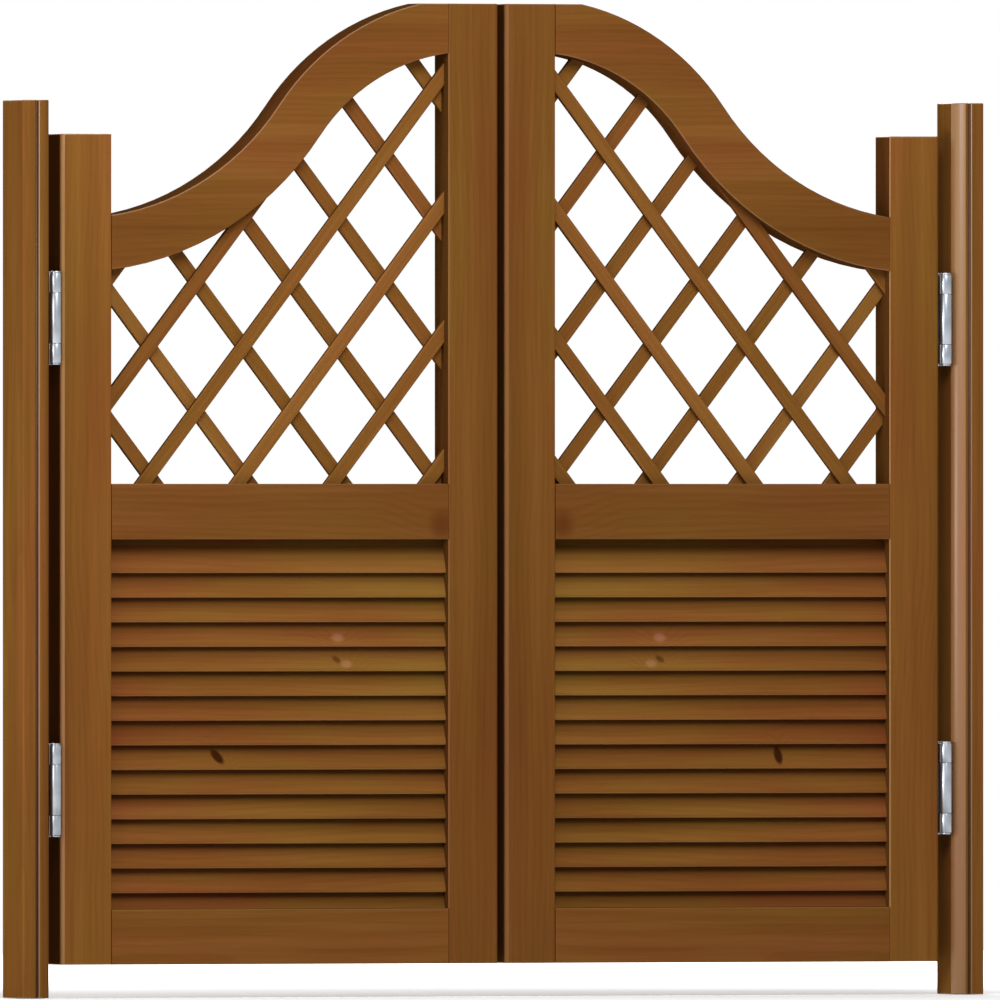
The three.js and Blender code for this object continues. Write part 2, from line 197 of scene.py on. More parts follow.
def seen_rays(tree):
    path = add_node(tree, "ShaderNodeLightPath")
    seen = math_node(tree, "MAXIMUM", path.outputs["Is Camera Ray"], path.outputs["Is Glossy Ray"])
    return math_node(tree, "MAXIMUM", seen, path.outputs["Is Transmission Ray"])


floor_shape = bmesh.new()
bmesh.ops.create_grid(floor_shape, x_segments=1, y_segments=1, size=FLOOR_SIZE / 2)
bmesh.ops.translate(floor_shape, verts=floor_shape.verts, vec=(0, 0, -FLOOR_DROP))
floor_data = bpy.data.meshes.new("floor")
floor_shape.to_mesh(floor_data)
floor_shape.free()
floor = bpy.data.objects.new("floor", floor_data)
scene.collection.objects.link(floor)
floor_paint, floor_tree, floor_shader = blank_material("pale_floor")
floor_shader.inputs["Base Color"].default_value = (FLOOR_GREY, FLOOR_GREY, FLOOR_GREY, 1)
floor_shader.inputs["Roughness"].default_value = 0.9
floor_shader.inputs["Specular IOR Level"].default_value = 0.0
floor_shader.inputs["Emission Color"].default_value = (1, 1, 1, 1)
floor_place = add_node(floor_tree, "ShaderNodeTexCoord").outputs["Object"]
floor_reach = add_node(floor_tree, "ShaderNodeVectorMath", {0: floor_place}, operation="LENGTH")
glow = smooth_step(floor_tree, floor_reach.outputs["Value"], GLOW_START, GLOW_END, GLOW_NEAR, 1.0)
floor_glow = math_node(floor_tree, "MULTIPLY", seen_rays(floor_tree), glow)
floor_tree.links.new(floor_glow, floor_shader.inputs["Emission Strength"])
floor_data.materials.append(floor_paint)
floor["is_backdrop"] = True
print("floor", FLOOR_SIZE, "m wide")

# %% [markdown]
# The room is the world. It is plain white where the camera or a reflection looks at it, and much softer
# where it lights the wood, because white from all sides would wash the stain out.

# %% White room
WORLD_FILL = 0.2

world = bpy.data.worlds.new("white_room")
world.use_nodes = True
room = world.node_tree
room.nodes.clear()
fill = add_node(room, "ShaderNodeBackground", {"Color": (1, 1, 1, 1), "Strength": WORLD_FILL})
white = add_node(room, "ShaderNodeBackground", {"Color": (1, 1, 1, 1), "Strength": 1.0})
mix = add_node(room, "ShaderNodeMixShader", {0: seen_rays(room), 1: fill.outputs[0], 2: white.outputs[0]})
add_node(room, "ShaderNodeOutputWorld", {"Surface": mix.outputs[0]})
scene.world = world
print("world fill", WORLD_FILL)

# %% [markdown]
# A broad lamp above the camera gives the front its light, which fades towards the foot as in the
# photograph. A weak one from the left draws the arrises, and a small one far to the side lights the left
# faces of the posts and horns. The last lights the back for anyone who walks round the doors.

# %% Lamps
LAMP_AIM = Vector((0, 0, 0.6))


def soft_lamp(name, azimuth, elevation, distance, size, power):
    data = bpy.data.lights.new(name, "AREA")
    data.shape = "DISK"
    data.size = size
    data.energy = power
    lamp = bpy.data.objects.new(name, data)
    az, el = math.radians(azimuth), math.radians(elevation)
    back = Vector((math.sin(az) * math.cos(el), -math.cos(az) * math.cos(el), math.sin(el)))
    lamp.location = LAMP_AIM + back * distance
    lamp.rotation_euler = back.to_track_quat("Z", "Y").to_euler()
    scene.collection.objects.link(lamp)


soft_lamp("front_lamp", azimuth=-12, elevation=41, distance=2.75, size=1.6, power=74)
soft_lamp("edge_lamp", azimuth=-68, elevation=8, distance=3.0, size=0.7, power=14)
soft_lamp("side_lamp", azimuth=-83, elevation=0, distance=3.0, size=0.3, power=29)
soft_lamp("back_lamp", azimuth=165, elevation=35, distance=4.0, size=2.5, power=110)
print(len(bpy.data.lights), "lamps")

# %% [markdown]
# The wood is pine under a warm brown stain and a satin varnish. Grain runs along each board, so the
# pattern can't follow the room's axes: every board carries its own coordinates in an attribute named
# grain, with X along the board and YZ measured from the heart of the log it was sawn from.
# Noise that is stretched along the board will make its fibres and streaks. Growth rings are circles about
# the heart: the distance from it is divided by the rings' pitch, and the fraction that is left over tells
# how late in a year's growth the wood is.

# %% Fibres and growth rings
RING_PITCH = 6.5 * MM
RING_WANDER = 45 * MM
LATE_START = 0.35
LATE_FULL = 0.92
LATE_FADE = 0.93


def stretched_noise(tree, place, stretch, detail, roughness=0.5):
    stretched = add_node(tree, "ShaderNodeVectorMath", {0: place, 1: stretch}, operation="MULTIPLY")
    noise = add_node(tree, "ShaderNodeTexNoise", {
        "Vector": stretched.outputs[0], "Scale": 1.0, "Detail": detail, "Roughness": roughness})
    return noise.outputs[0]


def grain_noise(tree, grain, along, across, detail, roughness=0.5):
    return stretched_noise(tree, grain, (along, across, across), detail, roughness)


def heart_distance(tree, grain, warp):
    section = add_node(tree, "ShaderNodeVectorMath", {0: grain, 1: (0, 1, 1)}, operation="MULTIPLY")
    reach = add_node(tree, "ShaderNodeVectorMath", {0: section.outputs[0]}, operation="LENGTH")
    return math_node(tree, "MULTIPLY_ADD", warp, RING_WANDER, reach.outputs["Value"])


def late_wood(tree, radius):
    ring = math_node(tree, "FRACT", math_node(tree, "DIVIDE", radius, RING_PITCH))
    rise = smooth_step(tree, ring, LATE_START, LATE_FULL, 0.0, 1.0)
    fall = add_node(tree, "ShaderNodeMapRange", {
        "Value": ring, "From Min": 1.0, "From Max": LATE_FADE, "To Min": 0.0, "To Max": 1.0})
    return math_node(tree, "MULTIPLY", rise, fall.outputs[0])


print("rings every", RING_PITCH / MM, "mm")

# %% [markdown]
# A knot is where a branch left the trunk. It could be a picture, but an oval that is measured from its
# centre needs none: a Mapping node moves, turns and scales the object's own coordinates, and their length
# then tells how far a point is from the centre, with 1 at the rim. Noise makes the rim uneven. The same
# distance bends the growth rings round the knot.

# %% Knots
KNOT_WANDER = 1.2
KNOT_RIM = 1.0
KNOT_CORE = 0.45
SWIRL_REACH = 3.2
SWIRL = 16 * MM


def knot_distance(tree, place, warp, centre, size, lean):
    oval = add_node(tree, "ShaderNodeMapping", {
        "Vector": place, "Location": centre, "Rotation": (0, lean, 0), "Scale": size},
        vector_type="TEXTURE")
    reach = add_node(tree, "ShaderNodeVectorMath", {0: oval.outputs[0]}, operation="LENGTH")
    away = math_node(tree, "SUBTRACT", reach.outputs["Value"], KNOT_WANDER / 2)
    return math_node(tree, "MULTIPLY_ADD", warp, KNOT_WANDER, away)


def knot_spot(tree, away, strength):
    return smooth_step(tree, away, KNOT_RIM, KNOT_CORE, 0.0, strength)


def knot_swirl(tree, away):
    return smooth_step(tree, away, SWIRL_REACH, 0.0, 0.0, SWIRL)


print("rings bend by up to", SWIRL / MM, "mm round a knot")

# %% [markdown]
# Three noises decide how much stain the wood took: fine fibres, longer streaks and slow clouds. Each
# swings about zero by its own contrast, and their sum picks a brown from a ramp. Late wood is a little
# darker. One noise for all three would look like marble, because wood has detail at several scales.

# %% Browns of the stain
PINE_DARK = screen_colour(92, 54, 21)
PINE_MID = screen_colour(122, 78, 34)
PINE_LIGHT = screen_colour(150, 102, 52)
FIBRE_CONTRAST = 0.18
STREAK_CONTRAST = 0.42
STAIN_CONTRAST = 0.55
LATE_DARKENING = 0.05
MIDDLE_TONE = 0.52


def swing(tree, noise, contrast):
    return math_node(tree, "MULTIPLY_ADD", noise, contrast, -contrast / 2)


def stain_colour(tree, fibre, streak, stain, late):
    tone = swing(tree, fibre, FIBRE_CONTRAST)
    tone = math_node(tree, "ADD", tone, swing(tree, streak, STREAK_CONTRAST))
    tone = math_node(tree, "ADD", tone, swing(tree, stain, STAIN_CONTRAST))
    tone = math_node(tree, "ADD", tone, math_node(tree, "MULTIPLY", late, -LATE_DARKENING))
    tone = math_node(tree, "ADD", tone, MIDDLE_TONE)
    ramp = add_node(tree, "ShaderNodeValToRGB", {0: tone})
    ramp.color_ramp.elements[0].position = 0.12
    ramp.color_ramp.elements[0].color = PINE_DARK
    ramp.color_ramp.elements[1].position = 0.92
    ramp.color_ramp.elements[1].color = PINE_LIGHT
    middle = ramp.color_ramp.elements.new(0.5)
    middle.color = PINE_MID
    return ramp.outputs[0]


print("mid brown", [round(value, 3) for value in PINE_MID[:3]])

# %% [markdown]
# Some places differ from the planed faces: eased arrises that face the light get a painted pale highlight,
# faces turned away from the front and back and the posts' quirks get painted shade, and end grain drank
# more stain. They could have materials of their own, but one material that reads attributes keeps the
# grain running through. Grooves get painted shade by their depth in the object's own coordinates. The hue
# drifts slowly along a board, and on the louvre it also turns redder towards the hinges.

# %% Painted highlights and shade, soaked and reddened places
# The pale arris colour is a painted highlight on the arrises that face the light.
ARRIS_HIGHLIGHT_COLOUR = screen_colour(170, 124, 80)
# The dark edge colour is painted shade on faces turned away from the front and back and in the posts'
# quirks.
EDGE_SHADE_COLOUR = screen_colour(58, 28, 9)
END_GRAIN = screen_colour(66, 36, 14)
# The groove colour is painted shade where the louvre's bands lie under the noses above.
GROOVE_SHADE_COLOUR = screen_colour(48, 24, 6)
MARKED_PLACES = (
    ("arris", 0.45, ARRIS_HIGHLIGHT_COLOUR),
    ("painted_edge_shade", 0.65, EDGE_SHADE_COLOUR),
    ("end_grain", 0.45, END_GRAIN),
)
GROOVE_SHADE_STRENGTH = 0.7
HUE_LOW = 0.48
HUE_DRIFT = 0.04
RED_DRIFT = 0.036
LEAF_MIDDLE = 257 * MM


def attribute(tree, name, output="Fac"):
    return add_node(tree, "ShaderNodeAttribute", attribute_name=name).outputs[output]


def painted(tree, colour, factor, paint):
    mixed = add_node(tree, "ShaderNodeMix", {0: factor, 6: colour, 7: paint}, data_type="RGBA")
    return mixed.outputs[2]


def marked_colour(tree, colour, position, groove_shade):
    # The arris mix is a painted highlight, the edge mix painted shade, and the end-grain mix the wood's
    # own stain.
    for name, strength, paint in MARKED_PLACES:
        factor = math_node(tree, "MULTIPLY", attribute(tree, name), strength)
        colour = painted(tree, colour, factor, paint)
    # Painted shade, darker the deeper a point lies in the louvre's grooves.
    if groove_shade:
        depth = math_node(tree, "ABSOLUTE", position.outputs["Y"])
        groove_shadow = smooth_step(tree, depth, *groove_shade, 0.0, GROOVE_SHADE_STRENGTH)
        colour = painted(tree, colour, groove_shadow, GROOVE_SHADE_COLOUR)
    return colour


def drifting_hue(tree, grain, position, reddening):
    tint = grain_noise(tree, grain, along=3.1, across=16.0, detail=2.0)
    hue = math_node(tree, "MULTIPLY_ADD", tint, HUE_DRIFT, HUE_LOW)
    if reddening:
        across_leaf = math_node(tree, "ABSOLUTE", position.outputs["X"])
        from_middle = math_node(tree, "SUBTRACT", across_leaf, LEAF_MIDDLE)
        hue = math_node(tree, "MULTIPLY_ADD", from_middle, -reddening, hue)
        patches = grain_noise(tree, grain, along=8.0, across=45.0, detail=2.0)
        hue = math_node(tree, "ADD", hue, swing(tree, patches, RED_DRIFT))
    return hue


print(len(MARKED_PLACES), "kinds of marked places")

# %% [markdown]
# Now the finish is put together. Each board has a tone of its own, in one more attribute, so most boards
# can share one material. The room is white in reflections, which would lay a haze over the brown, so only
# the arrises shine. Fibres and late wood stand up a little, which a Bump node shows without more faces.

# %% Stained pine
ARRIS_SHEEN = 0.3
ROUGH_LOW = 0.42
ROUGH_DRIFT = 0.16
ARRIS_POLISH = 0.12
LATE_RELIEF = 0.5
GRAIN_RELIEF = 0.25 * MM
RELIEF_STRENGTH = 0.22


def stained_pine(name, knots=(), groove_shade=None, reddening=0.0, arris_sheen=ARRIS_SHEEN):
    material, tree, shader = blank_material(name)
    grain = attribute(tree, "grain", "Vector")
    place = add_node(tree, "ShaderNodeTexCoord").outputs["Object"]
    position = add_node(tree, "ShaderNodeSeparateXYZ", {0: place})
    fibre = grain_noise(tree, grain, along=14.0, across=520.0, detail=3.0, roughness=0.6)
    streak = grain_noise(tree, grain, along=2.2, across=70.0, detail=3.0, roughness=0.55)
    stain = grain_noise(tree, grain, along=1.3, across=7.0, detail=2.0)
    warp = grain_noise(tree, grain, along=2.4, across=9.0, detail=2.0)

    radius = heart_distance(tree, grain, warp)
    spots = []
    for centre, size, lean, strength, paint in knots:
        away = knot_distance(tree, place, warp, centre, size, lean)
        radius = math_node(tree, "ADD", radius, knot_swirl(tree, away))
        spots.append((knot_spot(tree, away, strength), paint))
    late = late_wood(tree, radius)

    colour = stain_colour(tree, fibre, streak, stain, late)
    for near, paint in spots:
        colour = painted(tree, colour, near, paint)
    colour = marked_colour(tree, colour, position, groove_shade)
    hue = drifting_hue(tree, grain, position, reddening)
    board_tone = attribute(tree, "board_tone")
    toned = add_node(tree, "ShaderNodeHueSaturation", {"Hue": hue, "Value": board_tone, "Color": colour})
    tree.links.new(toned.outputs[0], shader.inputs["Base Color"])

    arris = attribute(tree, "arris")
    rough = math_node(tree, "MULTIPLY_ADD", streak, ROUGH_DRIFT, ROUGH_LOW)
    rough = math_node(tree, "MULTIPLY_ADD", arris, -ARRIS_POLISH, rough)
    tree.links.new(rough, shader.inputs["Roughness"])
    tree.links.new(math_node(tree, "MULTIPLY", arris, arris_sheen), shader.inputs["Specular IOR Level"])
    height = math_node(tree, "MULTIPLY_ADD", late, LATE_RELIEF, fibre)
    bump = add_node(tree, "ShaderNodeBump", {
        "Height": height, "Strength": RELIEF_STRENGTH, "Distance": GRAIN_RELIEF})
    tree.links.new(bump.outputs[0], shader.inputs["Normal"])
    return material


pine = stained_pine("stained_pine")
print("pine nodes", len(pine.node_tree.nodes))

# %% [markdown]
# A CAD node arrives as loose triangles with sharp corners. A wooden piece is made from a copy of it:
# the doubles are merged, flat triangles are dissolved into whole faces, and the arrises that a joiner
# would ease get a small round bevel. A Bevel modifier would ease every sharp edge of a piece, so the edges
# are chosen first and bevelled in the mesh.

# %% Copies and bevels
SHARP = math.radians(35)
FLAT = math.radians(0.8)
MERGE = 0.001 * MM


def merged_copy(node):
    shape = bmesh.new()
    shape.from_mesh(frame["nodes"][node].data)
    bmesh.ops.remove_doubles(shape, verts=shape.verts, dist=MERGE)
    bmesh.ops.dissolve_limit(shape, angle_limit=FLAT, verts=shape.verts, edges=shape.edges)
    return shape


def sharp_edges(shape, least=SHARP):
    return [e for e in shape.edges if e.is_manifold and e.calc_face_angle(0) > least]


def ease(shape, edges, width, steps=3):
    made = bmesh.ops.bevel(
        shape, geom=edges, offset=width, offset_type="OFFSET", segments=steps, profile=0.5,
        affect="EDGES", clamp_overlap=True, material=-1)
    return made["faces"]


example = merged_copy("left_top_rail")
print("a top rail has", len(example.faces), "faces and", len(sharp_edges(example)), "sharp edges")
example.free()

# %% [markdown]
# Edges inside mortises, grooves and lath pockets stay sharp, because no tool reaches them once the leaf is
# glued up. So only edges on the front or back face of a leaf are eased, and of those not the shoulders,
# where a rail meets a stile flush. The frame's own boxes tell where these faces and shoulders lie.

# %% Choosing arrises
ON_FACE = 0.1 * MM
AT_SHOULDER = 0.5 * MM
UPRIGHT = 0.05 * MM
AT_END = 0.01 * MM
ROUND_FROM = 0.15
ROUND_TO = 0.985
LEVEL_LIMIT = 0.1

half_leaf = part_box("right_hinge_stile")[1].y
meeting_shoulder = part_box("right_meeting_stile")[1].x
hinge_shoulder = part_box("right_hinge_stile")[0].x


def near_line(x, line):
    return abs(abs(x) - line) < AT_SHOULDER


def frame_arrises(shape, rail):
    chosen = []
    for edge in sharp_edges(shape):
        a, b = (v.co for v in edge.verts)
        on_face = min(abs(a.y), abs(b.y)) > half_leaf - ON_FACE
        on_line = near_line(a.x, meeting_shoulder) or near_line(a.x, hinge_shoulder)
        shoulder = rail and abs(a.x - b.x) < UPRIGHT and on_line
        if on_face and not shoulder:
            chosen.append(edge)
    return chosen


def end_edges(shape):
    heights = [v.co.z for v in shape.verts]
    low, high = min(heights), max(heights)

    def at_end(vert):
        return vert.co.z - low < AT_END or high - vert.co.z < AT_END
    return [e for e in sharp_edges(shape) if at_end(e.verts[0]) and at_end(e.verts[1])]


def round_faces(shape):
    shape.normal_update()
    return [f for f in shape.faces
            if ROUND_FROM < abs(f.normal.x) < ROUND_TO and abs(f.normal.z) < LEVEL_LIMIT]


print("shoulders at", round(meeting_shoulder / MM, 1), "and", round(hinge_shoulder / MM, 1), "mm")

# %% [markdown]
# Finishing a board writes the attributes that its material reads. Each kind of board was sawn from
# another log, so its heart lies elsewhere, and the left leaf's grain mirrors the right's. Only the arrises
# that face the light from the front left get a painted pale highlight and more gloss, and faces turned
# away from the front and back get painted shade.
# Last, the piece is attached to the body it rides on and gets its material, and the CAD node it stands
# in for is hidden.

# %% Finishing a board
LOG_STEP = 0.731
HEART_SIDE = 0.05
HEART_DEPTH = 0.075
HEART_SWAY = 0.02
TO_LIGHT = 0.1
EDGE_LIMIT = 0.5
END_LIMIT = 0.9


def heart(log):
    side = HEART_SIDE * math.sin(log * 2.4)
    depth = HEART_DEPTH + HEART_SWAY * math.sin(log * 5.1)
    return Vector((log * LOG_STEP, side, depth))


def new_piece(shape, name, node, material):
    data = bpy.data.meshes.new(name)
    shape.to_mesh(data)
    shape.free()
    data.materials.append(material)
    piece = bpy.data.objects.new(name, data)
    scene.collection.objects.link(piece)
    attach(piece, body_of(frame["nodes"][node])[0])
    return piece


def finish_board(shape, name, node, along, log, arris_faces, material, board_tone, gloss_and_highlight, crease_shade_faces=()):
    side = -1 if node.startswith("left") else 1
    along = Vector(along).normalized()
    depth = Vector((0, 1, 0))
    across = depth.cross(along)
    shape.faces.index_update()
    eased = {face.index for face in arris_faces}
    crease_shaded = {face.index for face in crease_shade_faces}
    grain = shape.verts.layers.float_vector.new("grain")
    arris = shape.faces.layers.float.new("arris")
    end_grain = shape.faces.layers.float.new("end_grain")
    tone = shape.faces.layers.float.new("board_tone")
    edge_shade = shape.faces.layers.float.new("painted_edge_shade")
    for vert in shape.verts:
        p = Vector((side * vert.co.x, vert.co.y, vert.co.z))
        vert[grain] = Vector((p.dot(along), p.dot(across), p.dot(depth))) + heart(log)
    shape.normal_update()
    for face in shape.faces:
        is_arris = face.index in eased
        to_light = face.normal.x < TO_LIGHT and face.normal.y < TO_LIGHT
        normal = Vector((side * face.normal.x, face.normal.y, face.normal.z))
        is_edge = abs(normal.y) < EDGE_LIMIT and not is_arris and not node.endswith("_post")
        face.smooth = is_arris
        face[tone] = board_tone
        # Only light-facing arrises get the painted pale highlight and the extra gloss.
        face[arris] = gloss_and_highlight if is_arris and to_light else 0.0
        face[end_grain] = 1.0 if abs(normal.dot(along)) > END_LIMIT else 0.0
        # Edge faces and the posts' quirks get painted shade.
        face[edge_shade] = 1.0 if is_edge or face.index in crease_shaded else 0.0
    piece = new_piece(shape, name, node, material)
    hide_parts(node)
    return piece


print("the posts' log has its heart at", [round(value, 3) for value in heart(3)])

# %% [markdown]
# The posts are boards that are screwed to the wall. Their inner arrises are beads with a fine groove, the
# quirk, beside them. The CAD model has both, so only the ends are eased here. Painted shade darkens the
# quirk, while the bead gets a painted pale highlight where it faces the light and shines more than any
# other arris.

# %% Posts
UP = (0, 0, 1)
POST_LOG = 3
POST_EASE = 1.0 * MM
POST_TONE = 0.87
# Strength of the painted pale highlight and of the gloss on the posts' beads.
BEAD_GLOSS_AND_HIGHLIGHT = 0.75
BEAD_SHEEN = 0.75
BEAD_WIDTH = 14.8 * MM
QUIRK_WIDTH = 3.9 * MM

post_pine = stained_pine("post_pine", arris_sheen=BEAD_SHEEN)
bead_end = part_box("right_post")[0].x + BEAD_WIDTH
for node in ("left_post", "right_post"):
    shape = merged_copy(node)
    eased = ease(shape, end_edges(shape), POST_EASE, 2)
    rounds = round_faces(shape)
    beads = [f for f in rounds if abs(f.calc_center_median().x) < bead_end]
    quirks = [f for f in rounds if bead_end < abs(f.calc_center_median().x) < bead_end + QUIRK_WIDTH]
    post = finish_board(
        shape, node + "_board", node, UP, POST_LOG, eased + beads, post_pine, POST_TONE, BEAD_GLOSS_AND_HIGHLIGHT,
        quirks)
    print(post.name, len(post.data.polygons), "faces")

# %% [markdown]
# Stiles and rails are the frame of a leaf. Stiles run their grain upwards and rails run it sideways, and
# that change of direction is what shows the joints, because the faces are flush. Along a joint a stile's
# arris has to look plain, so the stile is cut across at the rails' heights before it is eased, and the
# bevel faces between those cuts are left out of the painted highlight and the gloss.

# %% Eased stiles
FRAME_EASE = 1.1 * MM
BESIDE_JOINT = 2 * MM


def joint_span(rail, shoulder):
    heights = [v.co.z for v in frame["nodes"][rail].data.vertices
               if near_line(v.co.x, shoulder) and abs(v.co.y) > half_leaf - ON_FACE]
    return min(heights), max(heights)


def cut(shape, point, normal, merge=MERGE):
    bmesh.ops.bisect_plane(
        shape, geom=shape.verts[:] + shape.edges[:] + shape.faces[:], dist=merge,
        plane_co=point, plane_no=normal)


def beside_joint(face, shoulder, spans):
    middle = face.calc_center_median()
    near = abs(abs(middle.x) - shoulder) < BESIDE_JOINT
    return near and any(low < middle.z < high for low, high in spans)


def eased_stile(shape, side, shoulder):
    spans = [joint_span(f"{side}_{word}_rail", shoulder) for word in ("top", "mid", "bottom")]
    for low, high in spans:
        cut(shape, (0, 0, low), UP)
        cut(shape, (0, 0, high), UP)
    edges = set(frame_arrises(shape, rail=False)) | set(end_edges(shape))
    faces = ease(shape, list(edges), FRAME_EASE) + round_faces(shape)
    return [f for f in faces if not beside_joint(f, shoulder, spans)]


low, high = joint_span("left_top_rail", hinge_shoulder)
print("the left top rail meets its hinge stile from", round(low / MM), "to", round(high / MM), "mm")

# %% [markdown]
# The boards took the stain a little differently, so each has its own tone and its own strength of painted
# highlight and gloss on the arrises. A middle rail also has a reddish patch beside the meeting stile,
# which is made like a knot.

# %% Stiles and rails
RIGHT = (1, 0, 0)
FIRST_FRAME_LOG = 5
# Columns: board, grain direction, tone, and strength of the painted arris highlight and gloss.
FRAME_BOARDS = (
    ("hinge_stile", UP, 0.96, 1.0),
    ("meeting_stile", UP, 0.76, 0.35),
    ("top_rail", RIGHT, 0.82, 0.6),
    ("mid_rail", RIGHT, 0.70, 0.3),
    ("bottom_rail", RIGHT, 0.80, 0.2),
)
RED_PATCH = screen_colour(88, 40, 16)
RED_PATCH_SIZE = (0.026, 0.06, 0.025)
RED_PATCH_STRENGTH = 0.55

for side_sign, side in ((-1, "left"), (1, "right")):
    patch = ((side_sign * 0.070, 0, 0.505), RED_PATCH_SIZE, 0, RED_PATCH_STRENGTH, RED_PATCH)
    mid_pine = stained_pine(f"{side}_mid_rail_pine", [patch])
    for index, (word, along, board_tone, gloss_and_highlight) in enumerate(FRAME_BOARDS):
        node = f"{side}_{word}"
        shape = merged_copy(node)
        if word == "hinge_stile":
            eased = eased_stile(shape, side, hinge_shoulder)
        elif word == "meeting_stile":
            eased = eased_stile(shape, side, meeting_shoulder)
        else:
            eased = ease(shape, frame_arrises(shape, rail=True), FRAME_EASE)
        board_pine = mid_pine if word == "mid_rail" else pine
        log = FIRST_FRAME_LOG + index
        board = finish_board(
            shape, node + "_board", node, along, log, eased, board_pine, board_tone, gloss_and_highlight)
        print(board.name, len(board.data.polygons), "faces")

# %% [markdown]
# Laths cross in two layers, all rising at the same slope: in front they rise to the meeting stile,
# behind they rise to the hinge stile. Each is a thin strip with lightly rounded edges, and its grain
# runs along the strip, so the direction is read from its longest edge.

# %% Lattice laths
LATH_EASE = 0.9 * MM
LATH_TONE = 0.9
# Strength of the painted highlight and gloss on the laths' arrises.
LATH_GLOSS_AND_HIGHLIGHT = 0.1
FRONT_LATH_LOG = 20
BACK_LATH_LOG = 30
ALONG_LATH = 0.99


def edge_line(edge):
    return (edge.verts[1].co - edge.verts[0].co).normalized()


laths = sorted(n for n in frame["nodes"] if "_lath_" in n)
for node in laths:
    shape = merged_copy(node)
    front = "_front_" in node
    line = edge_line(max(shape.edges, key=lambda e: e.calc_length()))
    along = Vector((-abs(line.x) if front else abs(line.x), 0, abs(line.z)))
    edges = [e for e in sharp_edges(shape) if abs(edge_line(e).dot(line)) > ALONG_LATH]
    eased = ease(shape, edges, LATH_EASE, 2)
    log = int(node.rsplit("_", 1)[1]) + (FRONT_LATH_LOG if front else BACK_LATH_LOG)
    finish_board(shape, node + "_strip", node, along, log, eased, pine, LATH_TONE, LATH_GLOSS_AND_HIGHLIGHT)
print(len(laths), "laths")

# %% [markdown]
# The louvre panel is one board whose faces are cut into sloping bands, like overlapping slats.
# Painted shade darkens the bands where they tuck under each other, a few knots cross from band to band,
# and the wood is redder towards the hinges. Only the noses of the bands are eased: they are long, and they
# stand out farther than anything else on the panel. Where they face the light they get a painted
# highlight.

# %% Louvre panels
NOSE_EASE = 0.35 * MM
NOSE_DEPTH = 12 * MM
NOSE_LENGTH = 100 * MM
PANEL_LOG = 15
PANEL_TONE = 0.92
# Strength of the painted highlight and gloss on the band noses.
PANEL_GLOSS_AND_HIGHLIGHT = 0.5
# The painted groove shade starts 12 mm from the panel's middle and is full at 5 mm.
PANEL_GROOVE_SHADE = (12.0 * MM, 5.0 * MM)
PANEL_REDDENING = 0.03
DARK_KNOT = screen_colour(58, 24, 10)
PALE_KNOT = screen_colour(172, 122, 90)

for side_sign, side in ((-1, "left"), (1, "right")):
    node = side + "_louvre_panel"
    # Each knot has its centre, size, lean, strength and colour.
    knots = [
        ((side_sign * 0.326, 0, 0.258), (0.011, 0.06, 0.0055), 1.15 + side_sign * 0.3, 1.0, DARK_KNOT),
        ((side_sign * 0.188, 0, 0.362), (0.008, 0.06, 0.005), 0.6, 0.6, DARK_KNOT),
        ((side_sign * 0.187, 0, 0.385), (0.012, 0.06, 0.008), 0, 0.4, PALE_KNOT),
        ((side_sign * 0.177, 0, 0.357), (0.010, 0.06, 0.007), 0, 0.35, PALE_KNOT),
    ]
    panel_pine = stained_pine(f"{side}_panel_pine", knots, PANEL_GROOVE_SHADE, PANEL_REDDENING)
    shape = merged_copy(node)
    edges = [e for e in sharp_edges(shape)
             if min(abs(v.co.y) for v in e.verts) > NOSE_DEPTH
             and abs(e.verts[0].co.x - e.verts[1].co.x) > NOSE_LENGTH]
    eased = ease(shape, edges, NOSE_EASE, 2)
    panel = finish_board(
        shape, node + "_board", node, RIGHT, PANEL_LOG, eased, panel_pine, PANEL_TONE, PANEL_GLOSS_AND_HIGHLIGHT)
    print(panel.name, len(panel.data.polygons), "faces")

# %% [markdown]
# The hinges are zinc-plated steel. The plating is a bright, slightly grey metal with fine rolling marks
# up the barrels and faint clouds where it has dulled. The marks are noise that is stretched upwards, and
# the clouds are plain noise that moves the colour between two greys.

# %% Zinc-plated steel
ZINC_DULL = (0.27, 0.295, 0.325, 1)
ZINC_BRIGHT = (0.36, 0.385, 0.42, 1)
CLOUD_SCALE = 70.0
MARK_STRETCH = (900, 900, 12)
MARK_RELIEF = 0.05 * MM
MARK_STRENGTH = 0.12
ZINC_ROUGH_LOW = 0.24
ZINC_ROUGH_DRIFT = 0.12

zinc, zinc_tree, zinc_shader = blank_material("zinc_plated_steel")
zinc_place = add_node(zinc_tree, "ShaderNodeTexCoord").outputs["Object"]
clouds = add_node(
    zinc_tree, "ShaderNodeTexNoise", {"Vector": zinc_place, "Scale": CLOUD_SCALE, "Detail": 3.0})
zinc_ramp = add_node(zinc_tree, "ShaderNodeValToRGB", {0: clouds.outputs[0]})
zinc_ramp.color_ramp.elements[0].position = 0.3
zinc_ramp.color_ramp.elements[0].color = ZINC_DULL
zinc_ramp.color_ramp.elements[1].position = 0.7
zinc_ramp.color_ramp.elements[1].color = ZINC_BRIGHT
zinc_tree.links.new(zinc_ramp.outputs[0], zinc_shader.inputs["Base Color"])
zinc_shader.inputs["Metallic"].default_value = 1.0
marks = stretched_noise(zinc_tree, zinc_place, MARK_STRETCH, 2.0)
zinc_rough = math_node(zinc_tree, "MULTIPLY_ADD", marks, ZINC_ROUGH_DRIFT, ZINC_ROUGH_LOW)
zinc_tree.links.new(zinc_rough, zinc_shader.inputs["Roughness"])
zinc_bump = add_node(zinc_tree, "ShaderNodeBump", {
    "Height": marks, "Strength": MARK_STRENGTH, "Distance": MARK_RELIEF})
zinc_tree.links.new(zinc_bump.outputs[0], zinc_shader.inputs["Normal"])
print("zinc nodes", len(zinc_tree.nodes))

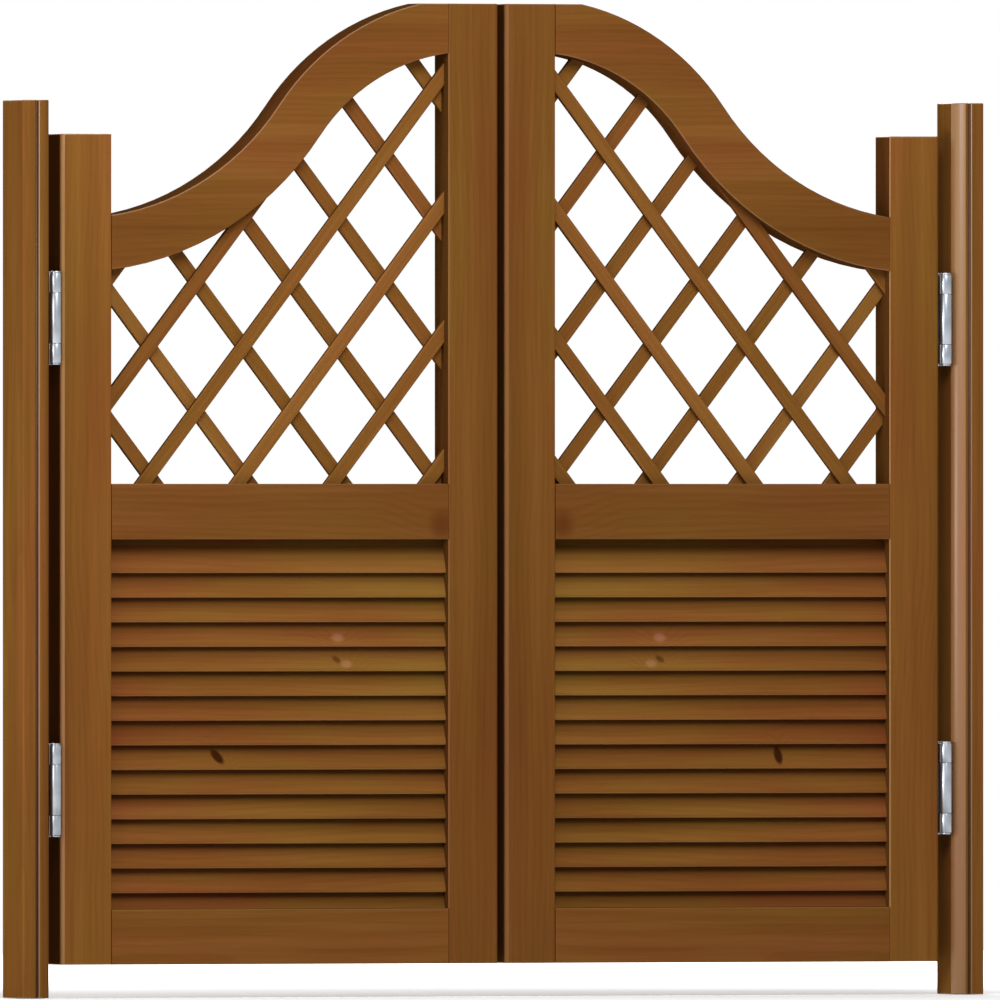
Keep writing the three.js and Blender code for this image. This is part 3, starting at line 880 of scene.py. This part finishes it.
# %% [markdown]
# Hinge leaves, webs and pins keep their CAD shapes. Their rolled barrels are drawn smooth and their plates
# flat, while edges that a press or a file would leave are eased by a third of a millimetre so that they
# catch the light. Of a pin only the riveted caps are eased, because its spring is hidden in the barrel.

# %% Hinges
METAL_EASE = 0.3 * MM
METAL_SHARP = math.radians(50)
BARREL_SMOOTH = math.radians(32)
PLATE_AREA = 300 * MM * MM
SQUARE_ON = 0.999
CAP_ZONE = 46 * MM

metal_nodes = sorted(n for n in frame["nodes"] if "_hinge_" in n and not n.endswith("stile"))
for node in metal_nodes:
    shape = merged_copy(node)
    edges = sharp_edges(shape, METAL_SHARP)
    if node.endswith("_pin"):
        middle = sum(v.co.z for v in shape.verts) / len(shape.verts)
        edges = [e for e in edges if all(abs(v.co.z - middle) > CAP_ZONE for v in e.verts)]
    ease(shape, edges, METAL_EASE, 2)
    for face in shape.faces:
        level = abs(face.normal.z) > SQUARE_ON
        plate = face.calc_area() > PLATE_AREA and abs(face.normal.x) > SQUARE_ON
        face.smooth = not level and not plate
    for edge in shape.edges:
        edge.smooth = edge.is_manifold and edge.calc_face_angle(0) < BARREL_SMOOTH
    piece = new_piece(shape, node + "_metal", node, zinc)
    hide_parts(node)
print(len(metal_nodes), "hinge pieces")

# %% [markdown]
# Every hinge leaf is held by four countersunk screws, which show when a door stands open. A head starts as
# a short cone with an eased rim. Four cuts divide its top, and the cross in the middle is inset and
# pressed in. A bump could fake the cross, but pressed faces hold a real shadow.

# %% Shape of a screw head
HEAD_RADIUS = 3.0 * MM
HEAD_DEPTH = 1.6 * MM
HEAD_TAPER = 0.7
RIM_EASE = 0.2 * MM
CROSS_HALF = 1.15 * MM
CROSS_INSET = 0.62 * MM
CROSS_DEPTH = 0.7 * MM
ON_TOP = 0.01 * MM
FINE_MERGE = 0.0001 * MM


def in_cross(face):
    middle = face.calc_center_median()
    return abs(middle.x) < CROSS_HALF or abs(middle.y) < CROSS_HALF


def screw_head():
    head = bmesh.new()
    bmesh.ops.create_cone(
        head, cap_ends=True, segments=24, radius1=HEAD_RADIUS * HEAD_TAPER, radius2=HEAD_RADIUS,
        depth=HEAD_DEPTH)
    ease(head, [e for e in head.edges if all(v.co.z > 0 for v in e.verts)], RIM_EASE, 2)
    for normal in (Vector((1, 0, 0)), Vector((0, 1, 0))):
        for sign in (-1, 1):
            cut(head, normal * sign * CROSS_HALF, normal, FINE_MERGE)
    top = HEAD_DEPTH / 2 - ON_TOP
    cross = [f for f in head.faces if all(v.co.z > top for v in f.verts) and in_cross(f)]
    bmesh.ops.inset_region(head, faces=cross, thickness=CROSS_INSET, use_even_offset=True)
    pressed = bmesh.ops.extrude_face_region(head, geom=cross)
    bmesh.ops.delete(head, geom=cross, context="FACES")
    floor_verts = [g for g in pressed["geom"] if isinstance(g, bmesh.types.BMVert)]
    bmesh.ops.translate(head, verts=floor_verts, vec=(0, 0, -CROSS_DEPTH))
    bmesh.ops.recalc_face_normals(head, faces=head.faces)
    head_data = bpy.data.meshes.new("screw_head")
    head.to_mesh(head_data)
    head.free()
    return head_data


head_data = screw_head()
print("a screw head has", len(head_data.polygons), "faces")

# %% [markdown]
# One head is enough for all screws: it is copied into place, four to a hinge leaf, each turned
# differently, as driven screws are. A jamb leaf's heads face its door, and a door leaf's heads face its
# post. The screws are extra pieces, so they ride on their leaf's body and replace no node.

# %% Screws in the hinge leaves
HEAD_SINK = 0.15 * MM
SCREW_ROWS = (-36 * MM, -12 * MM, 12 * MM, 36 * MM)
SCREW_SPREAD = 6 * MM
SCREW_TURN = 0.4
PLATE_SEAT = 0.3 * MM
PLATE_THICKNESS = 2.0 * MM

jamb_leaf_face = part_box("right_post")[0].x - PLATE_SEAT - PLATE_THICKNESS
door_leaf_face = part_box("right_hinge_stile")[1].x + PLATE_SEAT + PLATE_THICKNESS
leaf_nodes = [n for n in metal_nodes if n.endswith("_leaf")]
for node in leaf_nodes:
    low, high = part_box(node)
    side = -1 if node.startswith("left") else 1
    jamb = node.endswith("jamb_leaf")
    outward = -side if jamb else side
    face_x = side * (jamb_leaf_face if jamb else door_leaf_face)
    turn = Vector((outward, 0, 0)).to_track_quat("Z", "Y").to_matrix().to_4x4()
    centre_x = face_x - outward * (HEAD_DEPTH / 2 + HEAD_SINK)
    heads = bmesh.new()
    for row, height in enumerate(SCREW_ROWS):
        y = SCREW_SPREAD if row % 2 else -SCREW_SPREAD
        z = (low.z + high.z) / 2 + height
        spin = Matrix.Rotation(SCREW_TURN + row, 4, "Z")
        before = len(heads.verts)
        heads.from_mesh(head_data)
        heads.verts.ensure_lookup_table()
        place = Matrix.Translation((centre_x, y, z)) @ turn @ spin
        bmesh.ops.transform(heads, matrix=place, verts=heads.verts[before:])
    screws = new_piece(heads, node + "_screws", node, zinc)
bpy.data.meshes.remove(head_data)
print(len(SCREW_ROWS) * len(leaf_nodes), "screw heads")

# %% [markdown]
# The dressed doors must not be larger than the CAD model, so the box round the dressed doors is measured.

# %% Sizes
low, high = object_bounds()
